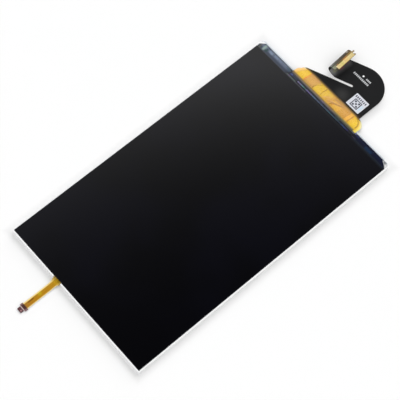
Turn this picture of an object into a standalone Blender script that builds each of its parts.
"""Replacement display module for a handheld device: a 6.2 inch class liquid crystal cell on its
edge-lit backlight, with the main flexible circuit at the driver end and the lamp circuit at the other.

Metres, +Z up. The module lies face up on its rear face. The origin is the centre of that rear face,
+X runs along the long side towards the driver ledge and +Y along the short side.
"""

import math

import bmesh
import bpy
import numpy as np
from mathutils import Matrix, Vector

# Adhesive line, or running clearance, between two laminated layers.
BOND = 0.00002

# Moulded frame.
FRAME_LENGTH = 0.1454
FRAME_WIDTH = 0.08366
RIM_WALL = 0.0005
RIM_DROP = 0.00015
SEAT_WIDTH = 0.0012
FRAME_CORNER_RADIUS = 0.0008
LEDGE_END_RADIUS = 0.0022
REBATE_WIDTH = 0.0006
REBATE_LIP = 0.0002
FLEX_GAP_CLEARANCE = 0.00025
CELL_CLEARANCE = 0.0002
SHEET_CLEARANCE = 0.0001

# Thickness of each layer, from the back to the face.
REFLECTOR_THICKNESS = 0.00008
GUIDE_THICKNESS = 0.00055
DIFFUSER_THICKNESS = 0.00006
PRISM_THICKNESS = 0.00007
RIM_TAPE_THICKNESS = 0.00006
REAR_POLARIZER_THICKNESS = 0.00012
GLASS_THICKNESS = 0.0003
CELL_GAP = 0.00003
FRONT_POLARIZER_THICKNESS = 0.00013

# Cell.
LEDGE_WIDTH = 0.0036
LEDGE_HIGH_CUT = 0.0020
LEDGE_LOW_CUT_LENGTH = 0.0024
LEDGE_LOW_CUT_WIDTH = 0.0039
POLARIZER_INSET = 0.0003
SEAL_INSET = 0.0004
SEAL_WIDTH = 0.0008
RIM_TAPE_WIDTH = 0.0023
DRIVER_LENGTH = 0.0356
DRIVER_WIDTH = 0.00075
DRIVER_THICKNESS = 0.00028
DRIVER_SETBACK = 0.0012
DRIVER_MIDDLE = -0.0022

# Lamp row and its circuit.
LAMP_COUNT = 10
LAMP_LENGTH = 0.0036
LAMP_DEPTH = 0.0008
LAMP_FLOOR_GAP = 0.00005
LAMP_LENS_RECESS = 0.0001
LAMP_LENS_BORDER = 0.00008
LAMP_ROW_MARGIN = 0.0041
LAMP_FILM_WIDTH = 0.0027
LAMP_FILM_THICKNESS = 0.00012
LAMP_TAIL_Y = 0.01165
LAMP_TAIL_WIDTH = 0.0031
LAMP_TAIL_ROOT_WIDTH = 0.0043
LAMP_TAIL_LENGTH = 0.0203
LAMP_TAIL_NECK = 0.0004
LAMP_TAIL_TAPER = 0.0013
LAMP_TAIL_FALL_START = 0.0003
LAMP_TAIL_FALL = 0.0048
LAMP_EAR_WIDTH = 0.0039
LAMP_EAR_LENGTH = 0.0016
LAMP_NOSE_WIDTH = 0.0026
LAMP_NOSE_LENGTH = 0.0019
LAMP_STIFFENER_THICKNESS = 0.0002
LAMP_CONTACT_WIDTH = 0.0009
LAMP_CONTACT_GAP = 0.0004
LAMP_CONTACT_LENGTH = 0.0014
LAMP_CONTACT_MARGIN = 0.0002
LAMP_CONTACT_THICKNESS = 0.00004

# Main flexible circuit, a laminate that starts bonded to the driver ledge.
FLEX_THICKNESS = 0.0001
COVER_THICKNESS = 0.00005
TAPE_THICKNESS = 0.00005
LABEL_THICKNESS = 0.00006
FLEX_BOND_WIDTH = 0.0011
FLEX_BASE_WIDTH = 0.0401
FLEX_BASE_REACH = 0.0059
FLEX_BASE_RADIUS = 0.0042
FLEX_FALL_START = 0.0008
FLEX_FALL = 0.0052
HOOK_START = 0.0066
HOOK_LOW_EDGE = -0.0158
HOOK_HIGH_EDGE = 0.0183
HOOK_RADIUS = 0.0113
HOOK_CENTRE = 0.01795
LEG_ANGLE = math.radians(112.8)
LEG_WIDTH = 0.01155
SLIT_WIDTH = 0.00124
SLIT_START_Y = -0.00125
COVER_START = 0.0061

# Tail of the main circuit, curled up and back over itself.
TAIL_SIDE = 0.0130
TAIL_WIDTH = 0.0125
TAIL_NECK_Y = 0.0089
TAIL_SHOULDER = 0.0015
CURL_START_Y = 0.00717
CURL_AXIS_ANGLE = math.radians(4.0)
RISE_ANGLE = math.radians(20)
RISE_RADIUS = 0.0082
CURL_ANGLE = math.radians(180)
CURL_RADIUS = 0.00215
TAIL_FLAT = 0.00242
EAR_REACH = 0.0011
EAR_WIDTH = 0.0006
EAR_NOTCH_DEPTH = 0.0003
EAR_NOTCH_WIDTH = 0.0009
TIP_REACH = 0.0003
TIP_LENGTH = 0.0007
TIP_CUT_WIDTH = 0.0013
TIP_CUT_LENGTH = 0.0012
CONTACT_PITCH = 0.0005
CONTACT_WIDTH = 0.0003
CONTACT_LENGTH = 0.00175
CONTACT_TIP_MARGIN = 0.0001
CONTACT_LEFT_MARGIN = 0.0014
CONTACT_RIGHT_MARGIN = 0.0004
CONTACT_SPINE = 0.00025
CONTACT_THICKNESS = 0.00003
CONTACT_COVER_GAP = 0.0009
STIFFENER_LENGTH = 0.00235
STIFFENER_THICKNESS = 0.0002

# Protective tape over the bond, and the paper label on the hook.
TAPE_START = -0.0008
TAPE_WIDTH = 0.0072
TAPE_LOW_END = -0.0185
TAPE_HIGH_END = 0.0208
TAPE_RADIUS = 0.0047
LABEL_SIDE = 0.0078
LABEL_WIDTH = 0.0074
LABEL_HEIGHT = 0.0078
LABEL_LOW_EDGE = -0.01365

# Corner radii: of die-cut films, of sheets and the frame's window, of the glass, and of each circuit.
FILM_CORNER_RADIUS = 0.0003
SHEET_CORNER_RADIUS = 0.0006
WINDOW_CORNER_RADIUS = 0.0005
LEDGE_CORNER_RADIUS = 0.0003
DRIVER_EDGE = 0.00004
LAMP_ROOT_RADIUS = 0.0006
LAMP_TAPER_RADIUS = 0.0015
LAMP_EAR_RADIUS = 0.0002
LAMP_CONTACT_RADIUS = 0.0001
HOOK_FILLET = 0.001
ELBOW_RADIUS = 0.004
EAR_ROOT_RADIUS = 0.0001
EAR_RADIUS = 0.0002
EAR_NOTCH_RADIUS = 0.0003

# How finely round corners are divided, as the most that a chord may cut off its arc, and how finely
# the films are scored where they bend.
ARC_FLATNESS = 0.000005
CURL_STEP = math.radians(7)
FALL_STEPS = 12
SHARP_ANGLE = math.radians(30)
FAR_AWAY = 1.0
WELD_DISTANCE = 1e-7
FILLET_ROOM = 0.98
CUT_MARGIN = 0.001

# Heights of the stack, worked out from the layers below each one.
REBATE_DEPTH = REFLECTOR_THICKNESS + BOND
GUIDE_TOP = REBATE_DEPTH + GUIDE_THICKNESS
DIFFUSER_TOP = GUIDE_TOP + BOND + DIFFUSER_THICKNESS
LOWER_PRISM_TOP = DIFFUSER_TOP + BOND + PRISM_THICKNESS
SEAT_TOP = LOWER_PRISM_TOP + BOND + PRISM_THICKNESS
RIM_TAPE_TOP = SEAT_TOP + BOND + RIM_TAPE_THICKNESS
REAR_POLARIZER_TOP = RIM_TAPE_TOP + BOND + REAR_POLARIZER_THICKNESS
ARRAY_BOTTOM = REAR_POLARIZER_TOP + BOND
ARRAY_TOP = ARRAY_BOTTOM + GLASS_THICKNESS
FILTER_BOTTOM = ARRAY_TOP + BOND + CELL_GAP + BOND
FILTER_TOP = FILTER_BOTTOM + GLASS_THICKNESS
FACE = FILTER_TOP + BOND + FRONT_POLARIZER_THICKNESS
RIM_TOP = FACE - RIM_DROP

# Plan sizes, worked out from the frame.
GLASS_LENGTH = FRAME_LENGTH - 2 * (RIM_WALL + CELL_CLEARANCE)
GLASS_WIDTH = FRAME_WIDTH - 2 * (RIM_WALL + CELL_CLEARANCE)
GLASS_EDGE = GLASS_LENGTH / 2
FILTER_EDGE = GLASS_EDGE - LEDGE_WIDTH
WINDOW_LENGTH = FRAME_LENGTH - 2 * (RIM_WALL + SEAT_WIDTH)
WINDOW_WIDTH = FRAME_WIDTH - 2 * (RIM_WALL + SEAT_WIDTH)
LAMP_WALL = -FRAME_LENGTH / 2 + RIM_WALL
LAMP_FACE = LAMP_WALL + SHEET_CLEARANCE + LAMP_DEPTH
GUIDE_START = LAMP_FACE + SHEET_CLEARANCE
SHEET_START = LAMP_WALL + SHEET_CLEARANCE + LAMP_FILM_WIDTH + SHEET_CLEARANCE
SHEET_END = WINDOW_LENGTH / 2 - SHEET_CLEARANCE
SHEET_WIDTH = WINDOW_WIDTH - 2 * SHEET_CLEARANCE

# The lamp tail: the level where it comes to lie on its stiffener, its tip and where its ears begin.
LAMP_TAIL_LEVEL = LAMP_STIFFENER_THICKNESS + BOND
LAMP_TAIL_TIP = -FRAME_LENGTH / 2 - LAMP_TAIL_LENGTH
LAMP_EAR_START = LAMP_TAIL_TIP + LAMP_NOSE_LENGTH + LAMP_EAR_LENGTH

# Heights inside the main laminate, measured up from the surface that it lies on.
FLEX_LOW = COVER_THICKNESS + BOND
FLEX_HIGH = FLEX_LOW + FLEX_THICKNESS
COVER_LOW = FLEX_HIGH + BOND
COVER_HIGH = COVER_LOW + COVER_THICKNESS
TAPE_LOW = COVER_HIGH + BOND

# The leg of the hook: its direction, the way across it and the edges beside the slit.
LEG_ALONG = Vector((math.cos(LEG_ANGLE), math.sin(LEG_ANGLE)))
LEG_ACROSS = Vector((LEG_ALONG.y, -LEG_ALONG.x))
HOOK_MIDDLE = Vector((GLASS_EDGE + HOOK_CENTRE, HOOK_LOW_EDGE + HOOK_RADIUS))
LEG_OUTER = HOOK_MIDDLE + LEG_ACROSS * HOOK_RADIUS
LEG_INNER = LEG_OUTER - LEG_ACROSS * LEG_WIDTH
SLIT_FAR = LEG_INNER - LEG_ACROSS * SLIT_WIDTH

# The curl: the point on its axis line where it starts, the way along the axis and across it.
TAIL_LEFT = GLASS_EDGE + TAIL_SIDE
TAIL_RIGHT = TAIL_LEFT + TAIL_WIDTH
CURL_START = Vector((TAIL_LEFT, CURL_START_Y))
CURL_ALONG = Vector((math.cos(CURL_AXIS_ANGLE), math.sin(CURL_AXIS_ANGLE)))
CURL_ACROSS = Vector((-CURL_ALONG.y, CURL_ALONG.x))
CURL_LENGTH = RISE_RADIUS * RISE_ANGLE + CURL_RADIUS * (CURL_ANGLE - RISE_ANGLE) + TAIL_FLAT


def clear_scene():
    for obj in list(bpy.data.objects):
        bpy.data.objects.remove(obj, do_unlink=True)


def new_collection(name):
    collection = bpy.data.collections.new(name)
    bpy.context.scene.collection.children.link(collection)
    return collection


def finish(obj, color, roughness, metallic=0.0):
    """Gives the piece a material of its own, smooth on its round faces."""
    material = bpy.data.materials.new(obj.name + "_finish")
    material.use_nodes = True
    shader = material.node_tree.nodes["Principled BSDF"]
    shader.inputs["Base Color"].default_value = (*color, 1.0)
    shader.inputs["Roughness"].default_value = roughness
    shader.inputs["Metallic"].default_value = metallic
    obj.data.materials.append(material)
    obj.data.shade_smooth()
    obj.data.set_sharp_from_angle(angle=SHARP_ANGLE)
    obj.parent = MODULE
    return obj


def rounded(corners):
    """Points of a closed outline from corners (x, y, radius). A fillet is held to the room on its sides."""
    places = [Vector((x, y)) for x, y, _ in corners]
    sides = [places[(index + 1) % len(places)] - place for index, place in enumerate(places)]
    sweeps = []
    reaches = []
    for index, (_, _, radius) in enumerate(corners):
        incoming = sides[index - 1]
        outgoing = sides[index]
        sweep = math.atan2(incoming.cross(outgoing), incoming.dot(outgoing))
        sweeps.append(sweep)
        reaches.append(radius * math.tan(abs(sweep) / 2))
    shares = [1.0] * len(corners)
    for index, side in enumerate(sides):
        after = (index + 1) % len(corners)
        wanted = reaches[index] + reaches[after]
        if wanted > FILLET_ROOM * side.length:
            share = FILLET_ROOM * side.length / wanted
            shares[index] = min(shares[index], share)
            shares[after] = min(shares[after], share)
    points = []
    for index, place in enumerate(places):
        reach = reaches[index] * shares[index]
        sweep = sweeps[index]
        if reach < WELD_DISTANCE:
            points.append(place)
            continue
        radius = reach / math.tan(abs(sweep) / 2)
        start = place - sides[index - 1].normalized() * reach
        spoke = sides[index - 1].normalized().orthogonal() * math.copysign(radius, sweep)
        middle = start + spoke
        turn = 2 * math.acos(max(0.0, 1 - ARC_FLATNESS / radius))
        steps = max(2, math.ceil(abs(sweep) / turn))
        for step in range(steps + 1):
            turned = (-spoke).copy()
            turned.rotate(Matrix.Rotation(sweep * step / steps, 2))
            points.append(middle + turned)
    return points


def crossing(point, along, other, other_along):
    """Where two lines in the plan meet."""
    share = (other - point).cross(other_along) / along.cross(other_along)
    return point + along * share


def rectangle(x_low, x_high, y_low, y_high, radius=0.0):
    return [
        (x_low, y_low, radius),
        (x_high, y_low, radius),
        (x_high, y_high, radius),
        (x_low, y_high, radius),
    ]


def centred_rectangle(length, width, radius=0.0):
    return rectangle(-length / 2, length / 2, -width / 2, width / 2, radius)


def plate(name, corners, low, high, collection=None):
    """A flat piece: its outline as a filled 2D curve with thickness, made a mesh."""
    curve = bpy.data.curves.new(name, "CURVE")
    curve.dimensions = "2D"
    curve.fill_mode = "BOTH"
    curve.extrude = (high - low) / 2
    spline = curve.splines.new("POLY")
    points = rounded(corners)
    spline.points.add(len(points) - 1)
    for slot, point in zip(spline.points, points):
        slot.co = (point.x, point.y, 0.0, 1.0)
    spline.use_cyclic_u = True
    guide = bpy.data.objects.new(name + "_outline", curve)
    bpy.context.scene.collection.objects.link(guide)
    evaluated = guide.evaluated_get(bpy.context.evaluated_depsgraph_get())
    mesh = bpy.data.meshes.new_from_object(evaluated)
    mesh.name = name
    bpy.data.objects.remove(guide)
    shape = bmesh.new()
    shape.from_mesh(mesh)
    bmesh.ops.remove_doubles(shape, verts=shape.verts, dist=WELD_DISTANCE)
    bmesh.ops.recalc_face_normals(shape, faces=shape.faces)
    bmesh.ops.translate(shape, verts=shape.verts, vec=(0, 0, (high - low) / 2))
    shape.to_mesh(mesh)
    shape.free()
    obj = bpy.data.objects.new(name, mesh)
    obj.location.z = low
    (collection or PARTS).objects.link(obj)
    return obj


def cut(obj, name, corners, low, high):
    """Takes one straight-sided pocket out of a piece. Its cutter stays in the scene as a wire helper."""
    cutter = plate(name, corners, low, high, CUTTERS)
    cutter.hide_render = True
    cutter.display_type = "WIRE"
    modifier = obj.modifiers.new(name, "BOOLEAN")
    modifier.operation = "DIFFERENCE"
    modifier.solver = "EXACT"
    modifier.object = cutter


def section(lengths, runs, rises):
    """A bent film seen end on. Each row holds a length on the flat pattern, the run and rise where it
    comes to lie, and the way out of the film there, mitred so that layers stay parallel."""
    path = np.column_stack([runs, rises])
    steps = np.diff(path, axis=0)
    steps /= np.linalg.norm(steps, axis=1)[:, None]
    normals = np.column_stack([-steps[:, 1], steps[:, 0]])
    before = np.vstack([normals[:1], normals])
    after = np.vstack([normals, normals[-1:]])
    mitres = (before + after) / (1 + (before * after).sum(axis=1))[:, None]
    return np.column_stack([lengths, path, mitres])


def along(bend, length, height):
    """Run and rise of a point of the laminate, from its length on the flat pattern and its height in it."""
    places = bend[:, 1:3] + height * bend[:, 3:5]
    return np.interp(length, bend[:, 0], places[:, 0]), np.interp(length, bend[:, 0], places[:, 1])


def fall_section(start, reach, high, low):
    """A film that runs level, falls in one soft wave and runs on level."""
    shares = np.linspace(0, 1, FALL_STEPS + 1)
    runs = np.concatenate([[start - FAR_AWAY], start + reach * shares, [start + reach + FAR_AWAY]])
    wave = low + (high - low) * (1 + np.cos(np.pi * shares)) / 2
    return section(runs, runs, np.concatenate([[high], wave, [low]]))


def curl_section():
    """The tail lifts in a wide curve, rolls over in a tight one and runs back flat."""
    rows = [(-FAR_AWAY, -FAR_AWAY, 0.0), (0.0, 0.0, 0.0)]
    heading = 0.0
    for target, radius in ((RISE_ANGLE, RISE_RADIUS), (CURL_ANGLE, CURL_RADIUS)):
        steps = math.ceil((target - heading) / CURL_STEP)
        for turned in np.linspace(heading, target, steps + 1)[1:]:
            length, run, rise = rows[-1]
            rows.append((
                length + radius * (turned - heading),
                run + radius * (math.sin(turned) - math.sin(heading)),
                rise + radius * (math.cos(heading) - math.cos(turned)),
            ))
            heading = turned
    length, run, rise = rows[-1]
    run_out = run + FAR_AWAY * math.cos(heading)
    rows.append((length + FAR_AWAY, run_out, rise + FAR_AWAY * math.sin(heading)))
    return section(*zip(*rows))


def main_laid(point):
    """Where a point of the flat main laminate comes to lie."""
    x, y, height = point
    plan = Vector((x, y))
    offset = plan - CURL_START
    across = offset.dot(CURL_ACROSS)
    if across > 0 and (plan - SLIT_FAR).dot(LEG_ACROSS) > SLIT_WIDTH / 2:
        run, rise = along(MAIN_CURL, across, height)
        place = CURL_START + CURL_ALONG * offset.dot(CURL_ALONG) + CURL_ACROSS * run
        return Vector((place.x, place.y, rise))
    run, rise = along(MAIN_FALL, x, height)
    return Vector((run, y, rise))


def lamp_laid(point):
    """Where a point of the flat lamp circuit comes to lie. It runs out towards -X."""
    x, y, height = point
    run, rise = along(LAMP_FALL_SECTION, -x, height)
    return Vector((-run, y, rise))


def film(name, corners, low, high, cuts, laid):
    """A layer of a bent laminate: cut flat, scored where it bends, then laid along the bend."""
    obj = plate(name, corners, low, high)
    obj.location.z = 0.0
    shape = bmesh.new()
    shape.from_mesh(obj.data)
    bmesh.ops.translate(shape, verts=shape.verts, vec=(0, 0, low))
    for place, normal in cuts:
        everything = shape.verts[:] + shape.edges[:] + shape.faces[:]
        bmesh.ops.bisect_plane(
            shape, geom=everything, dist=WELD_DISTANCE, plane_co=place, plane_no=normal
        )
    for vertex in shape.verts:
        vertex.co = laid(vertex.co)
    bmesh.ops.recalc_face_normals(shape, faces=shape.faces)
    shape.to_mesh(obj.data)
    shape.free()
    return obj


def main_film(name, corners, low, high):
    falls = [(Vector((x, 0, 0)), Vector((1, 0, 0))) for x in MAIN_FALL[1:-1, 0]]
    across = CURL_ACROSS.to_3d()
    rolls = [(CURL_START.to_3d() + across * length, across) for length in MAIN_CURL[1:-1, 0]]
    return film(name, corners, low, high, falls + rolls, main_laid)


def lamp_film(name, corners, low, high):
    falls = [(Vector((-x, 0, 0)), Vector((1, 0, 0))) for x in LAMP_FALL_SECTION[1:-1, 0]]
    return film(name, corners, low, high, falls, lamp_laid)


def frame_outline():
    """The outside of the frame, rounder at the ledge end, where the rear glass has cut corners."""
    outline = centred_rectangle(FRAME_LENGTH, FRAME_WIDTH, FRAME_CORNER_RADIUS)
    for index in (1, 2):
        outline[index] = (*outline[index][:2], LEDGE_END_RADIUS)
    return outline


def cell_pocket_outline():
    """The inside of the rim. At the ledge end it follows the round outside of the low corner and the
    cut glass of the high one."""
    length = FRAME_LENGTH / 2 - RIM_WALL
    side = FRAME_WIDTH / 2 - RIM_WALL
    corner = LEDGE_HIGH_CUT + (2 - math.sqrt(2)) * CELL_CLEARANCE
    return [
        (-length, -side, 0.0),
        (length, -side, LEDGE_END_RADIUS - RIM_WALL),
        (length, side - corner, 0.0),
        (length - corner, side, 0.0),
        (-length, side, 0.0),
    ]


def mold_frame():
    """White moulded frame: an outer rim round the cell, a seat for it, pockets between ribs for the
    lamps, a low gap for the main circuit, a notch for the lamp tail and a rebate behind for the film."""
    frame = plate("mold_frame", frame_outline(), 0.0, RIM_TOP)
    above = RIM_TOP + CUT_MARGIN
    cut(frame, "cell_pocket", cell_pocket_outline(), SEAT_TOP, above)
    window_side = WINDOW_WIDTH / 2
    window = rectangle(LAMP_FACE, WINDOW_LENGTH / 2, -window_side, window_side, WINDOW_CORNER_RADIUS)
    cut(frame, "guide_window", window, -CUT_MARGIN, above)
    rebate_side = window_side + REBATE_WIDTH
    rebate = rectangle(
        LAMP_WALL - REBATE_LIP, WINDOW_LENGTH / 2 + REBATE_WIDTH, -rebate_side, rebate_side
    )
    cut(frame, "film_rebate", rebate, -CUT_MARGIN, REBATE_DEPTH)
    shelf = rectangle(LAMP_WALL, LAMP_FACE + CUT_MARGIN, -window_side, window_side)
    cut(frame, "lamp_film_shelf", shelf, GUIDE_TOP, above)
    pocket_half = LAMP_LENGTH / 2 + SHEET_CLEARANCE
    for number, y in enumerate(lamp_places(), 1):
        pocket = rectangle(LAMP_WALL, LAMP_FACE + CUT_MARGIN, y - pocket_half, y + pocket_half)
        cut(frame, f"lamp_pocket_{number:02d}", pocket, -CUT_MARGIN, above)
    gap = rectangle(
        GLASS_EDGE,
        FRAME_LENGTH / 2 + CUT_MARGIN,
        -FLEX_BASE_WIDTH / 2 - FLEX_GAP_CLEARANCE,
        TAPE_HIGH_END + FLEX_GAP_CLEARANCE,
    )
    cut(frame, "main_flex_gap", gap, SEAT_TOP, above)
    notch_half = LAMP_TAIL_ROOT_WIDTH / 2 + FLEX_GAP_CLEARANCE
    notch = rectangle(
        -FRAME_LENGTH / 2 - CUT_MARGIN,
        LAMP_WALL + CELL_CLEARANCE,
        LAMP_TAIL_Y - notch_half,
        LAMP_TAIL_Y + notch_half,
    )
    cut(frame, "lamp_tail_notch", notch, GUIDE_TOP, above)
    return finish(frame, (0.86, 0.87, 0.87), 0.45)


def reflector_sheet():
    side = WINDOW_WIDTH / 2 + REBATE_WIDTH - SHEET_CLEARANCE
    outline = rectangle(
        LAMP_WALL - REBATE_LIP + SHEET_CLEARANCE,
        WINDOW_LENGTH / 2 + REBATE_WIDTH - SHEET_CLEARANCE,
        -side,
        side,
        FILM_CORNER_RADIUS,
    )
    sheet = plate("reflector_sheet", outline, 0.0, REFLECTOR_THICKNESS)
    return finish(sheet, (0.82, 0.83, 0.84), 0.25, 0.9)


def sheet_outline(start):
    """A sheet that fills the frame's window from start to the driver end."""
    return rectangle(start, SHEET_END, -SHEET_WIDTH / 2, SHEET_WIDTH / 2, SHEET_CORNER_RADIUS)


def light_guide_plate():
    guide = plate("light_guide_plate", sheet_outline(GUIDE_START), REBATE_DEPTH, GUIDE_TOP)
    return finish(guide, (0.9, 0.93, 0.92), 0.08)


def optical_sheet(name, top, thickness, color, roughness):
    """A loose film of the backlight, inside the frame window and clear of the lamp circuit."""
    sheet = plate(name, sheet_outline(SHEET_START), top - thickness, top)
    return finish(sheet, color, roughness)


def ring(name, outer, inner, low, high):
    """A flat border with an open middle."""
    obj = plate(name, outer, low, high)
    cut(obj, name + "_opening", inner, low - CUT_MARGIN, high + CUT_MARGIN)
    return obj


def array_outline():
    """The rear glass with the driver ledge. Both ledge corners are cut off, the one on the -Y side
    further along its short edge."""
    half = GLASS_WIDTH / 2
    radius = LEDGE_CORNER_RADIUS
    return [
        (-GLASS_EDGE, -half, 0.0),
        (GLASS_EDGE - LEDGE_LOW_CUT_LENGTH, -half, radius),
        (GLASS_EDGE, -half + LEDGE_LOW_CUT_WIDTH, radius),
        (GLASS_EDGE, half - LEDGE_HIGH_CUT, radius),
        (GLASS_EDGE - LEDGE_HIGH_CUT, half, radius),
        (-GLASS_EDGE, half, 0.0),
    ]


def rim_tape():
    """Black double-sided tape that holds the cell to the frame and hides the edge light. It is cut to
    the outline of the rear glass."""
    inner = centred_rectangle(
        GLASS_LENGTH - 2 * RIM_TAPE_WIDTH, GLASS_WIDTH - 2 * RIM_TAPE_WIDTH, WINDOW_CORNER_RADIUS
    )
    tape = ring("rim_tape", array_outline(), inner, SEAT_TOP + BOND, RIM_TAPE_TOP)
    return finish(tape, (0.01, 0.01, 0.01), 0.7)


def cell_outline(inset):
    """The face of the cell up to the driver ledge, drawn in by an inset."""
    half = GLASS_WIDTH / 2 - inset
    return rectangle(-GLASS_EDGE + inset, FILTER_EDGE - inset, -half, half)


def rear_polarizer():
    film_low = RIM_TAPE_TOP + BOND
    polarizer = plate("rear_polarizer", cell_outline(POLARIZER_INSET), film_low, REAR_POLARIZER_TOP)
    return finish(polarizer, (0.06, 0.06, 0.07), 0.2)


def tft_array_glass():
    """Rear glass with the switching array. It reaches past the front glass as the driver ledge."""
    glass = plate("tft_array_glass", array_outline(), ARRAY_BOTTOM, ARRAY_TOP)
    return finish(glass, (0.05, 0.06, 0.1), 0.05)


def cell_seal():
    """Cured sealant that joins the two glasses round the liquid crystal."""
    seal = ring(
        "cell_seal",
        cell_outline(SEAL_INSET),
        cell_outline(SEAL_INSET + SEAL_WIDTH),
        ARRAY_TOP + BOND,
        ARRAY_TOP + BOND + CELL_GAP,
    )
    return finish(seal, (0.5, 0.47, 0.4), 0.5)


def liquid_crystal_layer():
    outline = cell_outline(SEAL_INSET + SEAL_WIDTH + BOND)
    layer = plate("liquid_crystal_layer", outline, ARRAY_TOP + BOND, ARRAY_TOP + BOND + CELL_GAP)
    return finish(layer, (0.12, 0.13, 0.14), 0.1)


def colour_filter_glass():
    glass = plate("colour_filter_glass", cell_outline(0.0), FILTER_BOTTOM, FILTER_TOP)
    return finish(glass, (0.02, 0.02, 0.025), 0.05)


def front_polarizer():
    polarizer = plate("front_polarizer", cell_outline(POLARIZER_INSET), FILTER_TOP + BOND, FACE)
    return finish(polarizer, (0.012, 0.012, 0.014), 0.12)


def driver_chip():
    """Bare driver chip, mounted face down on the ledge beside the front glass."""
    start = FILTER_EDGE + DRIVER_SETBACK
    half = DRIVER_LENGTH / 2
    outline = rectangle(start, start + DRIVER_WIDTH, DRIVER_MIDDLE - half, DRIVER_MIDDLE + half)
    low = ARRAY_TOP + BOND
    chip = plate("driver_chip", outline, low, low + DRIVER_THICKNESS)
    edges = chip.modifiers.new("edges", "BEVEL")
    edges.width = DRIVER_EDGE
    edges.segments = 2
    edges.limit_method = "ANGLE"
    return finish(chip, (0.03, 0.035, 0.05), 0.15)


def lamp_places():
    """The middles of the lamps, spread evenly over the lit width."""
    pitch = (WINDOW_WIDTH - 2 * LAMP_ROW_MARGIN) / LAMP_COUNT
    return [(index - (LAMP_COUNT - 1) / 2) * pitch for index in range(LAMP_COUNT)]


def lamps():
    """Side-view lamps that hang from their circuit and shine into the edge of the light guide."""
    height = GUIDE_THICKNESS - LAMP_FLOOR_GAP
    shape = bmesh.new()
    bmesh.ops.create_cube(
        shape, size=1, matrix=Matrix.Diagonal((LAMP_DEPTH, LAMP_LENGTH, height, 1))
    )
    shape.faces.ensure_lookup_table()
    front = max(shape.faces, key=lambda face: face.calc_center_median().x)
    bmesh.ops.inset_region(shape, faces=[front], thickness=LAMP_LENS_BORDER)
    bmesh.ops.translate(shape, verts=front.verts, vec=(-LAMP_LENS_RECESS, 0, 0))
    mesh = bpy.data.meshes.new("lamp")
    shape.to_mesh(mesh)
    shape.free()
    for number, y in enumerate(lamp_places(), 1):
        lamp = bpy.data.objects.new(f"lamp_{number:02d}", mesh.copy())
        lamp.location = (LAMP_FACE - LAMP_DEPTH / 2, y, GUIDE_TOP - height / 2)
        PARTS.objects.link(lamp)
        finish(lamp, (0.85, 0.84, 0.7), 0.4)


def lamp_end_corners(x_start):
    """The pulling ears and the narrower nose at the end of the lamp tail, drawn from x_start outwards."""
    y = LAMP_TAIL_Y
    ear_x = LAMP_TAIL_TIP + LAMP_NOSE_LENGTH
    ear = LAMP_EAR_WIDTH / 2
    nose = LAMP_NOSE_WIDTH / 2
    radius = FILM_CORNER_RADIUS
    return [
        (x_start, y + ear, radius),
        (ear_x, y + ear, radius),
        (ear_x, y + nose, 0.0),
        (LAMP_TAIL_TIP, y + nose, radius),
        (LAMP_TAIL_TIP, y - nose, radius),
        (ear_x, y - nose, 0.0),
        (ear_x, y - ear, radius),
        (x_start, y - ear, radius),
    ]


def lamp_circuit():
    """Amber film that carries the lamps along the edge and leaves as a narrow tail."""
    left = LAMP_WALL + SHEET_CLEARANCE
    right = left + LAMP_FILM_WIDTH
    half = WINDOW_WIDTH / 2 - SHEET_CLEARANCE
    y = LAMP_TAIL_Y
    root = LAMP_TAIL_ROOT_WIDTH / 2
    tail = LAMP_TAIL_WIDTH / 2
    neck = -FRAME_LENGTH / 2 - LAMP_TAIL_NECK
    outline = [
        (left, -half, FILM_CORNER_RADIUS),
        (right, -half, FILM_CORNER_RADIUS),
        (right, half, FILM_CORNER_RADIUS),
        (left, half, FILM_CORNER_RADIUS),
        (left, y + root, 0.0),
        (neck, y + root, LAMP_ROOT_RADIUS),
        (neck - LAMP_TAIL_TAPER, y + tail, LAMP_TAPER_RADIUS),
        (LAMP_EAR_START, y + tail, LAMP_EAR_RADIUS),
        *lamp_end_corners(LAMP_EAR_START),
        (LAMP_EAR_START, y - tail, LAMP_EAR_RADIUS),
        (neck - LAMP_TAIL_TAPER, y - tail, LAMP_TAPER_RADIUS),
        (neck, y - root, LAMP_ROOT_RADIUS),
        (left, y - root, 0.0),
    ]
    circuit = lamp_film("lamp_circuit", outline[::-1], 0.0, LAMP_FILM_THICKNESS)
    return finish(circuit, (0.62, 0.36, 0.05), 0.35)


def lamp_tail_stiffener():
    """Stiff dark backing under the ears and the contact nose."""
    outline = lamp_end_corners(LAMP_EAR_START)
    backing = plate("lamp_tail_stiffener", outline, 0.0, LAMP_STIFFENER_THICKNESS)
    return finish(backing, (0.09, 0.05, 0.05), 0.5)


def lamp_contacts():
    """The two contact pads on the nose of the lamp tail."""
    low = LAMP_TAIL_LEVEL + LAMP_FILM_THICKNESS + BOND
    start = LAMP_TAIL_TIP + LAMP_CONTACT_MARGIN
    end = start + LAMP_CONTACT_LENGTH
    for number, side in enumerate((-1, 1), 1):
        middle = LAMP_TAIL_Y + side * (LAMP_CONTACT_GAP + LAMP_CONTACT_WIDTH) / 2
        edge = LAMP_CONTACT_WIDTH / 2
        outline = rectangle(start, end, middle - edge, middle + edge, LAMP_CONTACT_RADIUS)
        pad = plate(f"lamp_contact_{number}", outline, low, low + LAMP_CONTACT_THICKNESS)
        finish(pad, (0.75, 0.55, 0.3), 0.25, 1.0)


def tail_corner(x, length, radius=0.0):
    """A corner on the tail at x, at a length beyond the start of the curl, measured square to its axis."""
    offset = (length + (x - TAIL_LEFT) * CURL_ALONG.y) / CURL_ALONG.x
    return (x, CURL_START_Y + offset, radius)


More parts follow.
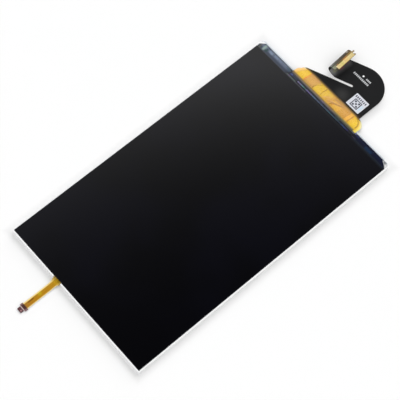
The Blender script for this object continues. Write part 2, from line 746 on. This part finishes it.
def hook_corners(start, tail):
    """The hook of the main circuit: the foot, the round outer bend, the leg, a given tail end and
    the slit back to the base. It begins and ends at the base, at x = start."""
    level = Vector((1, 0))
    foot = crossing(LEG_OUTER, LEG_ALONG, Vector((0, HOOK_LOW_EDGE)), level)
    neck = crossing(LEG_OUTER, LEG_ALONG, Vector((0, TAIL_NECK_Y)), level)
    elbow = crossing(LEG_INNER, LEG_ALONG, Vector((TAIL_LEFT, 0)), Vector((0, 1)))
    shoulder = crossing(SLIT_FAR, LEG_ALONG, Vector((0, HOOK_HIGH_EDGE)), level)
    slit_end = crossing(LEG_INNER, LEG_ALONG, Vector((0, SLIT_START_Y)), level)
    slit_end -= LEG_ALONG * SLIT_WIDTH / 2
    slit_back = slit_end - LEG_ACROSS * SLIT_WIDTH
    return [
        (start, HOOK_LOW_EDGE, FILM_CORNER_RADIUS),
        (*foot, HOOK_RADIUS),
        (*neck, HOOK_FILLET),
        (TAIL_RIGHT, TAIL_NECK_Y + TAIL_SHOULDER, HOOK_FILLET),
        *tail,
        (*elbow, ELBOW_RADIUS),
        (*slit_end, SLIT_WIDTH / 2),
        (*slit_back, SLIT_WIDTH / 2),
        (*shoulder, HOOK_FILLET),
    ]


def tail_end():
    """The end of the tail from one side to the other: a stiffened side, a pulling ear, a notch and
    the slightly wider tip, then the other corner of the tip, which is cut away in a step."""
    tip = CURL_LENGTH - TIP_LENGTH
    ear_end = tip - EAR_NOTCH_WIDTH
    ear_start = ear_end - EAR_WIDTH
    right = [
        (0.0, CURL_LENGTH - STIFFENER_LENGTH, 0.0),
        (0.0, ear_start, EAR_ROOT_RADIUS),
        (EAR_REACH, ear_start, EAR_RADIUS),
        (EAR_REACH, ear_end, EAR_RADIUS),
        (-EAR_NOTCH_DEPTH, ear_end, EAR_NOTCH_RADIUS),
        (-EAR_NOTCH_DEPTH, tip, EAR_NOTCH_RADIUS),
        (TIP_REACH, tip, EAR_RADIUS),
        (TIP_REACH, CURL_LENGTH, EAR_RADIUS),
    ]
    step = CURL_LENGTH - TIP_CUT_LENGTH
    return [
        *[tail_corner(TAIL_RIGHT + reach, length, radius) for reach, length, radius in right],
        tail_corner(TAIL_LEFT + TIP_CUT_WIDTH, CURL_LENGTH, EAR_RADIUS),
        tail_corner(TAIL_LEFT + TIP_CUT_WIDTH, step, EAR_RADIUS),
        tail_corner(TAIL_LEFT, step, EAR_RADIUS),
        tail_corner(TAIL_LEFT, CURL_LENGTH - STIFFENER_LENGTH),
    ]


def main_flex():
    """Amber core of the main circuit: a base bonded to the ledge, the hook and the eared tail."""
    half = FLEX_BASE_WIDTH / 2
    bond_edge = GLASS_EDGE - FLEX_BOND_WIDTH
    base_edge = GLASS_EDGE + FLEX_BASE_REACH
    outline = [
        (bond_edge, -half, FILM_CORNER_RADIUS),
        (base_edge, -half, FLEX_BASE_RADIUS),
        *hook_corners(GLASS_EDGE + HOOK_START, tail_end()),
        (base_edge, half, FLEX_BASE_RADIUS),
        (bond_edge, half, FILM_CORNER_RADIUS),
    ]
    flex = main_film("main_flex", outline, FLEX_LOW, FLEX_HIGH)
    return finish(flex, (0.78, 0.5, 0.09), 0.35)


def flex_cover(name, tail_length, low, high):
    """Black cover film over one side of the hook, up to a given length of the tail."""
    start = GLASS_EDGE + COVER_START
    tail = [tail_corner(TAIL_RIGHT, tail_length), tail_corner(TAIL_LEFT, tail_length)]
    outline = [*hook_corners(start, tail), (start, HOOK_HIGH_EDGE, FILM_CORNER_RADIUS)]
    cover = main_film(name, outline, low, high)
    return finish(cover, (0.014, 0.014, 0.016), 0.45)


def contact_fingers():
    """Gold contact comb on the face of the tail that ends up on top: a plated strip with fine fingers."""
    root = CURL_LENGTH - CONTACT_TIP_MARGIN - CONTACT_LENGTH
    tip = CURL_LENGTH - CONTACT_TIP_MARGIN
    spine = root + CONTACT_SPINE
    left = TAIL_LEFT + CONTACT_LEFT_MARGIN
    right = TAIL_RIGHT - CONTACT_RIGHT_MARGIN
    count = int((right - left - CONTACT_WIDTH) / CONTACT_PITCH) + 1
    first = (left + right - (count - 1) * CONTACT_PITCH) / 2
    outline = [tail_corner(left, root), tail_corner(right, root), tail_corner(right, spine)]
    for index in reversed(range(count)):
        x = first + index * CONTACT_PITCH
        outline += [
            tail_corner(x + CONTACT_WIDTH / 2, spine),
            tail_corner(x + CONTACT_WIDTH / 2, tip),
            tail_corner(x - CONTACT_WIDTH / 2, tip),
            tail_corner(x - CONTACT_WIDTH / 2, spine),
        ]
    outline.append(tail_corner(left, spine))
    comb = main_film("contact_fingers", outline, COVER_THICKNESS - CONTACT_THICKNESS, COVER_THICKNESS)
    return finish(comb, (0.9, 0.74, 0.38), 0.22, 1.0)


def tail_stiffener():
    """Stiff backing behind the contacts and the ears, on the inner side of the curl."""
    backing = main_film("tail_stiffener", tail_end(), COVER_LOW, COVER_LOW + STIFFENER_THICKNESS)
    return finish(backing, (0.45, 0.26, 0.08), 0.4)


def amber_tape():
    """Clear amber tape stuck over the bond and the bend below it."""
    start = GLASS_EDGE + TAPE_START
    outline = rectangle(start, start + TAPE_WIDTH, TAPE_LOW_END, TAPE_HIGH_END)
    for index in (1, 2):
        outline[index] = (*outline[index][:2], TAPE_RADIUS)
    tape = main_film("amber_tape", outline, TAPE_LOW, TAPE_LOW + TAPE_THICKNESS)
    return finish(tape, (0.95, 0.62, 0.08), 0.2)


def flex_label():
    """Small paper label on the hook."""
    start = GLASS_EDGE + LABEL_SIDE
    end = start + LABEL_WIDTH
    high_edge = LABEL_LOW_EDGE + LABEL_HEIGHT
    outline = rectangle(start, end, LABEL_LOW_EDGE, high_edge, FILM_CORNER_RADIUS)
    low = COVER_HIGH + BOND
    label = plate("flex_label", outline, low, low + LABEL_THICKNESS)
    return finish(label, (0.8, 0.83, 0.9), 0.5)


clear_scene()
PARTS = new_collection("replacement_lcd_screen")
CUTTERS = new_collection("cutters")
MODULE = bpy.data.objects.new("module_origin", None)
PARTS.objects.link(MODULE)
MAIN_FALL = fall_section(
    GLASS_EDGE + FLEX_FALL_START, FLEX_FALL, ARRAY_TOP + BOND - FLEX_LOW, 0.0
)
MAIN_CURL = curl_section()
LAMP_FALL_SECTION = fall_section(
    FRAME_LENGTH / 2 + LAMP_TAIL_FALL_START, LAMP_TAIL_FALL, GUIDE_TOP + BOND, LAMP_TAIL_LEVEL
)

reflector_sheet()
mold_frame()
lamps()
lamp_circuit()
lamp_tail_stiffener()
lamp_contacts()
light_guide_plate()
optical_sheet("diffuser_sheet", DIFFUSER_TOP, DIFFUSER_THICKNESS, (0.9, 0.9, 0.9), 0.7)
optical_sheet("lower_prism_sheet", LOWER_PRISM_TOP, PRISM_THICKNESS, (0.75, 0.78, 0.8), 0.25)
optical_sheet("upper_prism_sheet", SEAT_TOP, PRISM_THICKNESS, (0.75, 0.78, 0.8), 0.2)
rim_tape()
rear_polarizer()
tft_array_glass()
cell_seal()
liquid_crystal_layer()
colour_filter_glass()
front_polarizer()
driver_chip()
main_flex()
rear_cover_end = CURL_LENGTH - CONTACT_TIP_MARGIN - CONTACT_LENGTH - CONTACT_COVER_GAP
flex_cover("flex_rear_cover", rear_cover_end, 0.0, COVER_THICKNESS)
flex_cover("flex_top_cover", CURL_LENGTH - STIFFENER_LENGTH - BOND, COVER_LOW, COVER_HIGH)
contact_fingers()
tail_stiffener()
amber_tape()
flex_label()
